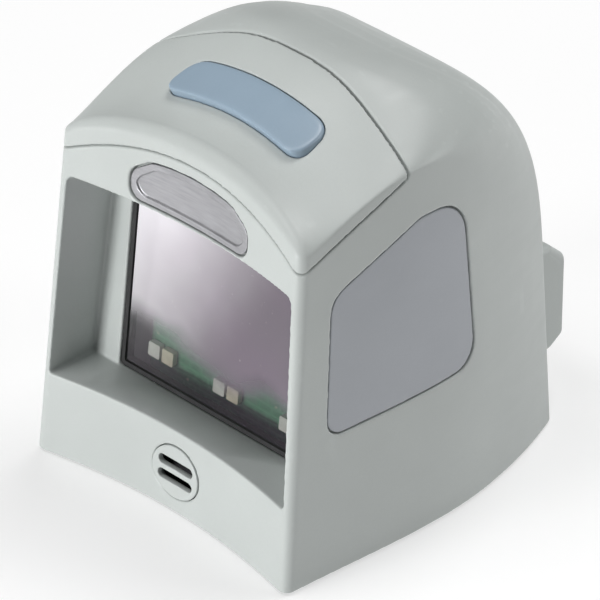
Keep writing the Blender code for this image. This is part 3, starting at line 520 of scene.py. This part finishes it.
def button_outline(grow=0.0):
    """A band with round ends, bowed towards the back, in the press plane."""
    half, deep = BUTTON_HALF + grow, BUTTON_DEPTH / 2 + grow
    end = deep * 0.95
    reach = half - end
    front = [(reach * s, -deep) for s in np.linspace(-1, 1, 25)]
    right = []
    for angle in np.linspace(0.05, math.pi - 0.05, 30):
        out, side = math.sin(angle), math.cos(angle)
        level = -math.copysign(abs(side) ** BUTTON_END_POWER, side)
        right.append((reach + end * out**BUTTON_END_POWER, deep * level))
    rear = [(reach * s, deep) for s in np.linspace(1, -1, 25)]
    left = [(-x, -y) for x, y in right]
    bowed = []
    for x, y in front + right + rear + left:
        share = (1 + y / deep) / 2
        bend = BUTTON_FRONT_BOW + (BUTTON_BOW - BUTTON_FRONT_BOW) * share
        bowed.append((x, y + bend * (0.6 - (x / half) ** 2)))
    return bowed


def panel_blank(name, side, grow):
    low, high = (10.0, FAR) if side > 0 else (-FAR, -10.0)
    return plate(name, panel_outline(grow), low, high, SIDEWAYS)


def skin_piece(name, blank, outer, inner):
    """What lies inside the blank between two depths under the body's surface."""
    skin = body_solid(name, outer)
    keep(skin, blank)
    return cut(skin, body_solid("back", inner, UNDER))


def pocket(blank, depth):
    return cut(blank, body_solid("floor", depth, UNDER))


# ---------------------------------------------------------------- materials


class Shader:
    """A Principled material and short calls for the nodes that feed it."""

    def __init__(self, name, color, roughness, **sockets):
        self.material = bpy.data.materials.new(name)
        self.material.use_nodes = True
        self.tree = self.material.node_tree
        self.shader = self.tree.nodes["Principled BSDF"]
        self.shader.inputs["Base Color"].default_value = (*color, 1.0)
        self.shader.inputs["Roughness"].default_value = roughness
        for socket, value in sockets.items():
            self.shader.inputs[socket.replace("_", " ")].default_value = value
        self.coords = self.add("ShaderNodeTexCoord").outputs["Object"]

    def add(self, kind, **settings):
        made = self.tree.nodes.new(kind)
        for key, value in settings.items():
            setattr(made, key, value)
        return made

    def link(self, source, socket):
        self.tree.links.new(source, socket)

    def stretched(self, stretch):
        mapping = self.add("ShaderNodeMapping")
        mapping.inputs["Scale"].default_value = stretch
        self.link(self.coords, mapping.inputs["Vector"])
        return mapping.outputs["Vector"]

    def noise(self, scale, detail=2.0, roughness=0.5, vector=None):
        made = self.add("ShaderNodeTexNoise")
        made.inputs["Scale"].default_value = scale
        made.inputs["Detail"].default_value = detail
        made.inputs["Roughness"].default_value = roughness
        self.link(vector or self.coords, made.inputs["Vector"])
        return made.outputs["Fac"]

    def spread(self, value, low, high, to_low, to_high, way="LINEAR"):
        made = self.add("ShaderNodeMapRange", interpolation_type=way)
        sockets = ("From Min", "From Max", "To Min", "To Max")
        for socket, number in zip(sockets, (low, high, to_low, to_high)):
            made.inputs[socket].default_value = number
        self.link(value, made.inputs["Value"])
        return made.outputs["Result"]

    def maths(self, operation, first, second=None):
        made = self.add("ShaderNodeMath", operation=operation)
        for socket, value in zip(made.inputs, (first, second)):
            if value is None:
                continue
            if isinstance(value, (int, float)):
                socket.default_value = value
            else:
                self.link(value, socket)
        return made.outputs["Value"]

    def blend(self, share, first, second):
        """A colour between two, each a tuple or another node's output."""
        made = self.add("ShaderNodeMix", data_type="RGBA")
        colours = [socket for socket in made.inputs if socket.type == "RGBA"]
        for socket, value in zip(colours, (first, second)):
            if isinstance(value, tuple):
                socket.default_value = (*value, 1.0)
            else:
                self.link(value, socket)
        self.link(share, made.inputs[0])
        return [socket for socket in made.outputs if socket.type == "RGBA"][0]

    def bump(self, height, strength, distance, below=None):
        made = self.add("ShaderNodeBump")
        made.inputs["Strength"].default_value = strength
        made.inputs["Distance"].default_value = distance
        self.link(height, made.inputs["Height"])
        if below:
            self.link(below, made.inputs["Normal"])
        return made.outputs["Normal"]

    def feed(self, socket, value):
        self.link(value, self.shader.inputs[socket])


def shade(color, factor):
    return tuple(min(1.0, channel * factor) for channel in color)


def moulded(name, color, roughness, grain=0.12, worn=0.10, **sockets):
    """Moulded plastic: fine grain, faint clouding, rubbed edges and fine scuffs."""
    made = Shader(name, color, roughness, **sockets)
    clouds = made.spread(made.noise(45.0, 3.0), 0.3, 0.7, 0.0, 1.0)
    tinted = made.blend(clouds, shade(color, 0.965), shade(color, 1.03))
    speckle = made.spread(made.noise(2600.0, 1.0), 0.25, 0.75, 0.0, 1.0)
    tinted = made.blend(made.maths("MULTIPLY", speckle, 0.35), tinted, shade(color, 0.93))
    edge = made.add("ShaderNodeNewGeometry").outputs["Pointiness"]
    rubbed = made.spread(edge, 0.51, 0.60, 0.0, worn)
    made.feed("Base Color", made.blend(rubbed, tinted, shade(color, 1.35)))
    streaks = made.noise(220.0, 4.0, 0.6, made.stretched((1.0, 0.35, 2.2)))
    scuffs = made.spread(streaks, 0.35, 0.75, -0.04, 0.07)
    polish = made.maths("ADD", scuffs, roughness)
    made.feed("Roughness", made.maths("SUBTRACT", polish, made.maths("MULTIPLY", rubbed, 0.6)))
    coarse = made.bump(made.noise(700.0, 2.0), 0.05, 0.00012)
    made.feed("Normal", made.bump(made.noise(5200.0, 2.0, 0.6), grain, 0.00005, coarse))
    return made.material


def rubbery(name, color):
    made = Shader(name, color, 0.7)
    dust = made.spread(made.noise(160.0, 5.0, 0.6), 0.45, 0.8, 0.0, 0.5)
    made.feed("Base Color", made.blend(dust, color, shade(color, 2.6)))
    made.feed("Roughness", made.spread(made.noise(90.0, 2.0), 0.3, 0.7, 0.6, 0.8))
    made.feed("Normal", made.bump(made.noise(3000.0, 2.0), 0.25, 0.00006))
    return made.material


def satin_metal(name, color, roughness, stretch, metallic=1.0):
    """Metal with fine lines along one axis."""
    made = Shader(name, color, roughness, Metallic=metallic)
    lines = made.noise(900.0, 3.0, 0.6, made.stretched(stretch))
    cloud = made.spread(made.noise(70.0, 2.0), 0.3, 0.7, 0.9, 1.0)
    tone = made.spread(made.maths("MULTIPLY", lines, cloud), 0.2, 0.7, 0.0, 1.0)
    made.feed("Base Color", made.blend(tone, shade(color, 0.86), shade(color, 1.12)))
    made.feed("Roughness", made.spread(lines, 0.3, 0.7, roughness - 0.06, roughness + 0.1))
    made.feed("Normal", made.bump(lines, 0.12, 0.00004))
    return made.material


def circuit(name, color):
    """Solder resist over copper: faint tracks and small vias."""
    made = Shader(name, color, 0.4, Coat_Weight=0.3)
    grid = made.add("ShaderNodeTexBrick", offset=0.37, squash=1.0)
    grid.inputs["Scale"].default_value = 150.0
    grid.inputs["Mortar Size"].default_value = 0.04
    grid.inputs["Mortar Smooth"].default_value = 0.3
    tilt = made.add("ShaderNodeMapping")
    tilt.inputs["Rotation"].default_value = (math.radians(90), 0.0, 0.0)
    made.link(made.coords, tilt.inputs["Vector"])
    made.link(tilt.outputs["Vector"], grid.inputs["Vector"])
    vias = made.add("ShaderNodeTexVoronoi")
    vias.inputs["Scale"].default_value = 260.0
    made.link(made.coords, vias.inputs["Vector"])
    dots = made.spread(vias.outputs["Distance"], 0.08, 0.13, 0.8, 0.0)
    tracks = made.blend(grid.outputs["Fac"], color, shade(color, 1.35))
    cloud = made.spread(made.noise(80.0, 3.0), 0.3, 0.7, 0.0, 0.4)
    base = made.blend(cloud, tracks, shade(color, 0.8))
    made.feed("Base Color", made.blend(dots, base, (0.45, 0.50, 0.36)))
    made.feed("Roughness", made.spread(made.noise(400.0, 2.0), 0.3, 0.7, 0.32, 0.48))
    made.feed("Normal", made.bump(grid.outputs["Fac"], 0.1, 0.00004))
    return made.material


def resin(name, color, roughness=0.3):
    """Cast or moulded resin with a slightly uneven tint."""
    made = Shader(name, color, roughness, Coat_Weight=0.3)
    tint = made.spread(made.noise(500.0, 3.0), 0.35, 0.7, 0.0, 1.0)
    made.feed("Base Color", made.blend(tint, shade(color, 0.88), shade(color, 1.08)))
    uneven = made.noise(300.0, 2.0)
    made.feed("Roughness", made.spread(uneven, 0.3, 0.7, roughness - 0.08, roughness + 0.12))
    made.feed("Normal", made.bump(made.noise(1500.0, 2.0), 0.1, 0.00004))
    return made.material


def lens_coat(name, color):
    made = Shader(name, color, 0.05, Coat_Weight=1.0, Specular_IOR_Level=0.9)
    # The colour turns blue-green where the lens is seen at a slant: a painted sheen.
    facing_sheen = made.add("ShaderNodeLayerWeight")
    facing_sheen.inputs["Blend"].default_value = 0.35
    tint = made.spread(made.noise(120.0, 1.0), 0.3, 0.7, 0.0, 0.4)
    middle = made.blend(tint, color, (0.10, 0.05, 0.16))
    made.feed("Base Color", made.blend(facing_sheen.outputs["Facing"], middle, (0.05, 0.14, 0.22)))
    made.feed("Roughness", made.spread(made.noise(600.0, 3.0), 0.4, 0.8, 0.03, 0.10))
    return made.material


# The window film's colours, a painted reflection over the lavender coating: white where it is
# brightest, dark lavender on its dim side, the same for its tinted patches, and the colours of dust
# and of the clear glass.
PAINTED_REFLECTION_BRIGHT, PAINTED_REFLECTION_DIM = (0.90, 0.88, 0.91), (0.138, 0.113, 0.142)
PATCH_REFLECTION_BRIGHT, PATCH_REFLECTION_DIM = (0.86, 0.80, 0.88), (0.165, 0.115, 0.172)
DUST, CLEAR_GLASS = (0.80, 0.80, 0.82), (0.90, 0.93, 0.91, 1.0)


def window_pane(name):
    """A coated window: a pale film with a painted reflection, brightest to one side and thinner in
    an arc along its foot.
    """
    made = Shader(name, (0.5, 0.47, 0.52), 0.14, Coat_Weight=0.5, Coat_Roughness=0.04)
    split = made.add("ShaderNodeSeparateXYZ")
    made.link(made.coords, split.inputs["Vector"])
    x, z = split.outputs["X"], split.outputs["Z"]
    waver = made.maths("MULTIPLY", made.maths("SUBTRACT", made.noise(60.0, 2.0), 0.5), 0.010)
    # The film's colour runs from bright to dim along this slant: a painted reflection.
    reflection_slant = made.maths("SUBTRACT", x, made.maths("MULTIPLY", made.maths("SUBTRACT", z, 0.043), 0.7))
    reflection_slant = made.maths("ADD", reflection_slant, waver)
    reflection_falloff = made.spread(reflection_slant, -0.034, 0.012, 0.0, 1.0, "SMOOTHSTEP")
    reflection_falloff = made.maths("POWER", reflection_falloff, 0.8)
    painted_film = made.blend(reflection_falloff, PAINTED_REFLECTION_BRIGHT, PAINTED_REFLECTION_DIM)
    tint = made.spread(made.noise(38.0, 1.0), 0.42, 0.66, 0.0, 0.35)
    painted_film = made.blend(tint, painted_film, made.blend(reflection_falloff, PATCH_REFLECTION_BRIGHT, PATCH_REFLECTION_DIM))
    dust = made.spread(made.noise(900.0, 3.0, 0.6), 0.68, 0.80, 0.0, 0.25)
    made.feed("Base Color", made.blend(dust, painted_film, DUST))
    made.feed("Roughness", made.spread(made.noise(240.0, 4.0), 0.35, 0.75, 0.10, 0.2))
    clear = made.add("ShaderNodeBsdfTransparent")
    clear.inputs["Color"].default_value = CLEAR_GLASS
    # Where the film with its painted reflection covers the glass, and where the glass stays clear.
    lift = made.spread(x, -0.022, -0.006, 0.0045, 0.0)
    arc = made.maths("ADD", made.maths("SUBTRACT", z, lift), waver)
    cover = made.spread(arc, 0.0250, 0.0318, 0.15, 0.92, "SMOOTHSTEP")
    mix = made.add("ShaderNodeMixShader")
    made.link(cover, mix.inputs["Fac"])
    made.link(clear.outputs["BSDF"], mix.inputs[1])
    made.link(made.shader.outputs["BSDF"], mix.inputs[2])
    out = made.tree.nodes["Material Output"]
    made.link(mix.outputs["Shader"], out.inputs["Surface"])
    return made.material


LOOKS = {
    "shell_plastic": moulded("shell_plastic_look", (0.470, 0.500, 0.487), 0.42),
    "panel_plastic": moulded(
        "panel_plastic_look", (0.395, 0.415, 0.445), 0.48, grain=0.2, worn=0.06
    ),
    "button_plastic": moulded(
        "button_plastic_look", (0.285, 0.372, 0.455), 0.33, grain=0.05, worn=0.08
    ),
    "badge_plate": satin_metal("badge_plate_look", (0.33, 0.33, 0.345), 0.36, (0.2, 3.0, 3.0), 0.5),
    "black_plastic": moulded("black_plastic_look", (0.022, 0.022, 0.024), 0.45, worn=0.5),
    "rubber": rubbery("rubber_look", (0.016, 0.016, 0.017)),
    "window_glass": window_pane("window_glass_look"),
    "lens_glass": lens_coat("lens_glass_look", (0.02, 0.03, 0.07)),
    "board_green": circuit("board_green_look", (0.10, 0.285, 0.165)),
    "lamp_white": resin("lamp_white_look", (0.95, 0.87, 0.84)),
    "lamp_amber": resin("lamp_amber_look", (0.88, 0.74, 0.60)),
    "steel": satin_metal("steel_look", (0.56, 0.56, 0.57), 0.3, (3.0, 3.0, 0.3)),
    "gold": satin_metal("gold_look", (0.80, 0.60, 0.25), 0.25, (0.4, 3.0, 3.0)),
    "ribbon": resin("ribbon_look", (0.62, 0.33, 0.10), 0.35),
}


def paint(obj, slot):
    obj.data.materials.clear()
    obj.data.materials.append(LOOKS[slot])


def paint_nodes():
    """The kept CAD solids get the finish of their slots."""
    for node in NODES.values():
        for holder in node.material_slots:
            holder.material = LOOKS[holder.material.name.split(".")[0]]


# ---------------------------------------------------------------- housing


def ready(obj, body, node, slot):
    """Makes the piece stand for a CAD node and move with its body."""
    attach(obj, body)
    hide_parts(node)
    paint(obj, slot)


def make_shell():
    shell = body_solid("shell_looks")
    cut(shell, recess_cutter())
    cut(shell, hood_zone("hood_cut", 0.0, -REAR_SEAM_EASE))
    cut(shell, plate("window_cut", window_outline(0.0), *WINDOW_REACH, LEANING_BACK))
    badge = plate("badge_cut", badge_outline(GAP), *BADGE_REACH, UPRIGHT)
    cut(shell, pocket(badge, BADGE_POCKET))
    cut(shell, plate("grille_cut", grille_outline(GAP), *GRILLE_REACH, UPRIGHT))
    for side, _ in SIDES:
        cut(shell, pocket(panel_blank("panel_cut", side, GAP), PANEL_POCKET))
    soften(shell, "shell")
    space = body_solid("inner_space", WALL, UNDER, PLAIN)
    low, high = SILL_Z - SHELF_THICK, LINTEL_Z + SHELF_THICK
    side_view = [
        (-FAR, low),
        (frame_front_y(low) + FRAME_THICK, low),
        (frame_front_y(high) + FRAME_THICK, high),
        (-FAR, high),
    ]
    cut(space, plate("recess_block", side_view, -FAR / 2, FAR / 2, SIDEWAYS))
    cut(shell, space)
    ready(shell, "housing", "main_shell", "shell_plastic")


def make_cover():
    cover = body_solid("cover_looks")
    keep(cover, hood_zone("hood_keep", GAP, GAP))
    cut(cover, plate("button_slot", button_outline(BUTTON_SLOT_GROW), *BUTTON_SLOT_REACH, PRESS))
    soften(cover, "cover")
    cut(cover, body_solid("hood_hollow", WALL, UNDER, PLAIN))
    ready(cover, "housing", "top_cover", "shell_plastic")


def make_button():
    cap = plate("button_looks", button_outline(BUTTON_GROW), *BUTTON_REACH, PRESS)
    hinge = Matrix.Translation(BUTTON_REAR)
    tip = hinge @ Matrix.Rotation(-BUTTON_RISE, 4, "X") @ hinge.inverted()
    keep(cap, body_solid("button_top", -BUTTON_FLUSH, turn=tip))
    cut(cap, body_solid("button_under", BUTTON_DEEP, UNDER))
    soften(cap, "button")
    ready(cap, "button", "trigger_button", "button_plastic")


def make_panels():
    for side, word in SIDES:
        blank = panel_blank("blank", side, 0.0)
        panel = skin_piece(f"panel_looks_{word}", blank, PANEL_SINK, PANEL_BACK)
        soften(panel, "panel")
        ready(panel, "housing", f"side_panel_{word}", "panel_plastic")


def make_front_trim():
    blank = plate("blank", badge_outline(), *BADGE_REACH, UPRIGHT)
    badge = skin_piece("badge_looks", blank, BADGE_SINK, BADGE_BACK)
    field = plate("badge_field", badge_outline(-BADGE_RIM), *BADGE_REACH, UPRIGHT)
    cut(badge, pocket(field, BADGE_FIELD_SINK))
    soften(badge, "badge")
    ready(badge, "housing", "badge_plate", "badge_plate")
    blank = plate("blank", grille_outline(GRILLE_GROW), *GRILLE_REACH, UPRIGHT)
    grille = skin_piece("grille_looks", blank, -GRILLE_PROUD, GRILLE_THICK)
    for lift in (-SLOT_LIFT, SLOT_LIFT):
        slot = oblong((0.0, GRILLE_Z + lift), SLOT_HALF, SLOT_TALL / 2, SLOT_TALL / 2 - 0.05)
        cut(grille, plate("slot", slot, *SLOT_REACH, UPRIGHT))
    soften(grille, "grille")
    ready(grille, "housing", "speaker_grille", "shell_plastic")


def make_block():
    side_view = [
        (BLOCK_ROOT_Y, BLOCK_LOW - BLOCK_SPLAY),
        (BLOCK_BACK - BLOCK_FOOT_SLOPE[0], BLOCK_LOW),
        (BLOCK_BACK, BLOCK_LOW + BLOCK_FOOT_SLOPE[1]),
        (BLOCK_BACK, BLOCK_HIGH - BLOCK_TOP_SLOPE[1]),
        (BLOCK_BACK - BLOCK_TOP_SLOPE[0], BLOCK_HIGH),
        (BLOCK_ROOT_Y, BLOCK_HIGH + BLOCK_SPLAY),
    ]
    block = plate("block_looks", side_view, -BLOCK_HALF, BLOCK_HALF, SIDEWAYS)
    bevel = block.modifiers.new("bevel", "BEVEL")
    bevel.width = BLOCK_BEVEL * MM
    bevel.segments = BEVEL_STEPS
    applied(block)
    cut(block, body_solid("block_seat", -GAP, UNDER), solver="EXACT")
    low = (-SOCKET_HALF, SOCKET_FLOOR_Y, SOCKET_Z - SOCKET_HIGH)
    high = (SOCKET_HALF, FAR, SOCKET_Z + SOCKET_HIGH)
    cut(block, box("socket_cavity", low, high), solver="EXACT")
    soften(block, "block")
    ready(block, "housing", "cable_block", "shell_plastic")


paint_nodes()
make_shell()
make_cover()
make_button()
make_panels()
make_front_trim()
make_block()

# ---------------------------------------------------------------- floor, light and camera


# The floor and the world behind it: greys, glow, colour and strength.
FLOOR_DARK, FLOOR_LIGHT, FLOOR_GLOW = (0.53, 0.53, 0.53), (0.56, 0.56, 0.56), 0.47
WORLD_COLOUR, WORLD_STRENGTH = (0.97, 0.98, 1.0, 1), 0.03

# Name, place and size in metres, and power in watts, of each light.
LIGHTS = [
    ("front_low", (-0.27, -1.5, 0.16), 0.4, 18.3),
    ("front_top", (-0.3, -0.5, 1.5), 0.8, 8.6),
    ("rear_top", (0.0, 0.6, 1.4), 0.8, 12.0),
    ("rear_right", (1.15, 0.95, 0.6), 0.7, 5.7),
]
LIGHT_AIM = (0, 0, 0.04)

# The camera's lens and sensor in millimetres, its direction in degrees, how far it stands
# from its target in metres, and the target in millimetres.
LENS, SENSOR = 320.2, 36.0
CLIP_START, CLIP_END = 0.05, 20.0
CAMERA_AZIMUTH, CAMERA_RISE = 46.147, 32.021
CAMERA_AWAY = 1.0396
CAMERA_TARGET = (3.069, 36.0 - ORIGIN_Y, 36.967)


def make_stage():
    bm = bmesh.new()
    bmesh.ops.create_grid(bm, x_segments=1, y_segments=1, size=3.0)
    mesh = bpy.data.meshes.new("floor")
    bm.to_mesh(mesh)
    bm.free()
    floor = place("floor", mesh)
    made = Shader("floor_look", (0.80, 0.80, 0.80), 0.7)
    cloud = made.spread(made.noise(3.0, 2.0), 0.3, 0.7, 0.0, 1.0)
    made.feed("Base Color", made.blend(cloud, FLOOR_DARK, FLOOR_LIGHT))
    made.shader.inputs["Emission Color"].default_value = (1.0, 1.0, 1.0, 1.0)
    made.shader.inputs["Emission Strength"].default_value = FLOOR_GLOW
    floor.data.materials.append(made.material)


def area_light(name, at, size, power):
    data = bpy.data.lights.new(name, "AREA")
    data.shape = "DISK"
    data.size = size
    data.energy = power
    light = bpy.data.objects.new(name, data)
    bpy.context.scene.collection.objects.link(light)
    light.location = at
    aim = Vector(LIGHT_AIM) - Vector(at)
    light.rotation_euler = aim.to_track_quat("-Z", "Y").to_euler()


def make_lights():
    world = bpy.data.worlds.new("studio")
    bpy.context.scene.world = world
    world.use_nodes = True
    back = world.node_tree.nodes["Background"]
    back.inputs["Color"].default_value = WORLD_COLOUR
    back.inputs["Strength"].default_value = WORLD_STRENGTH
    for name, at, size, power in LIGHTS:
        area_light(name, at, size, power)


def make_camera():
    data = bpy.data.cameras.new("camera")
    data.lens = LENS
    data.sensor_width = SENSOR
    data.clip_start, data.clip_end = CLIP_START, CLIP_END
    camera = bpy.data.objects.new("camera", data)
    bpy.context.scene.collection.objects.link(camera)
    azimuth, rise = math.radians(CAMERA_AZIMUTH), math.radians(CAMERA_RISE)
    back = Vector(
        (
            math.sin(azimuth) * math.cos(rise),
            -math.cos(azimuth) * math.cos(rise),
            math.sin(rise),
        )
    )
    target = Vector(CAMERA_TARGET) * MM
    camera.location = target + back * CAMERA_AWAY
    camera.rotation_mode = "QUATERNION"
    camera.rotation_quaternion = (-back).to_track_quat("-Z", "Y")
    bpy.context.scene.camera = camera


make_stage()
make_lights()
make_camera()
bpy.context.scene.view_settings.view_transform = "Standard"
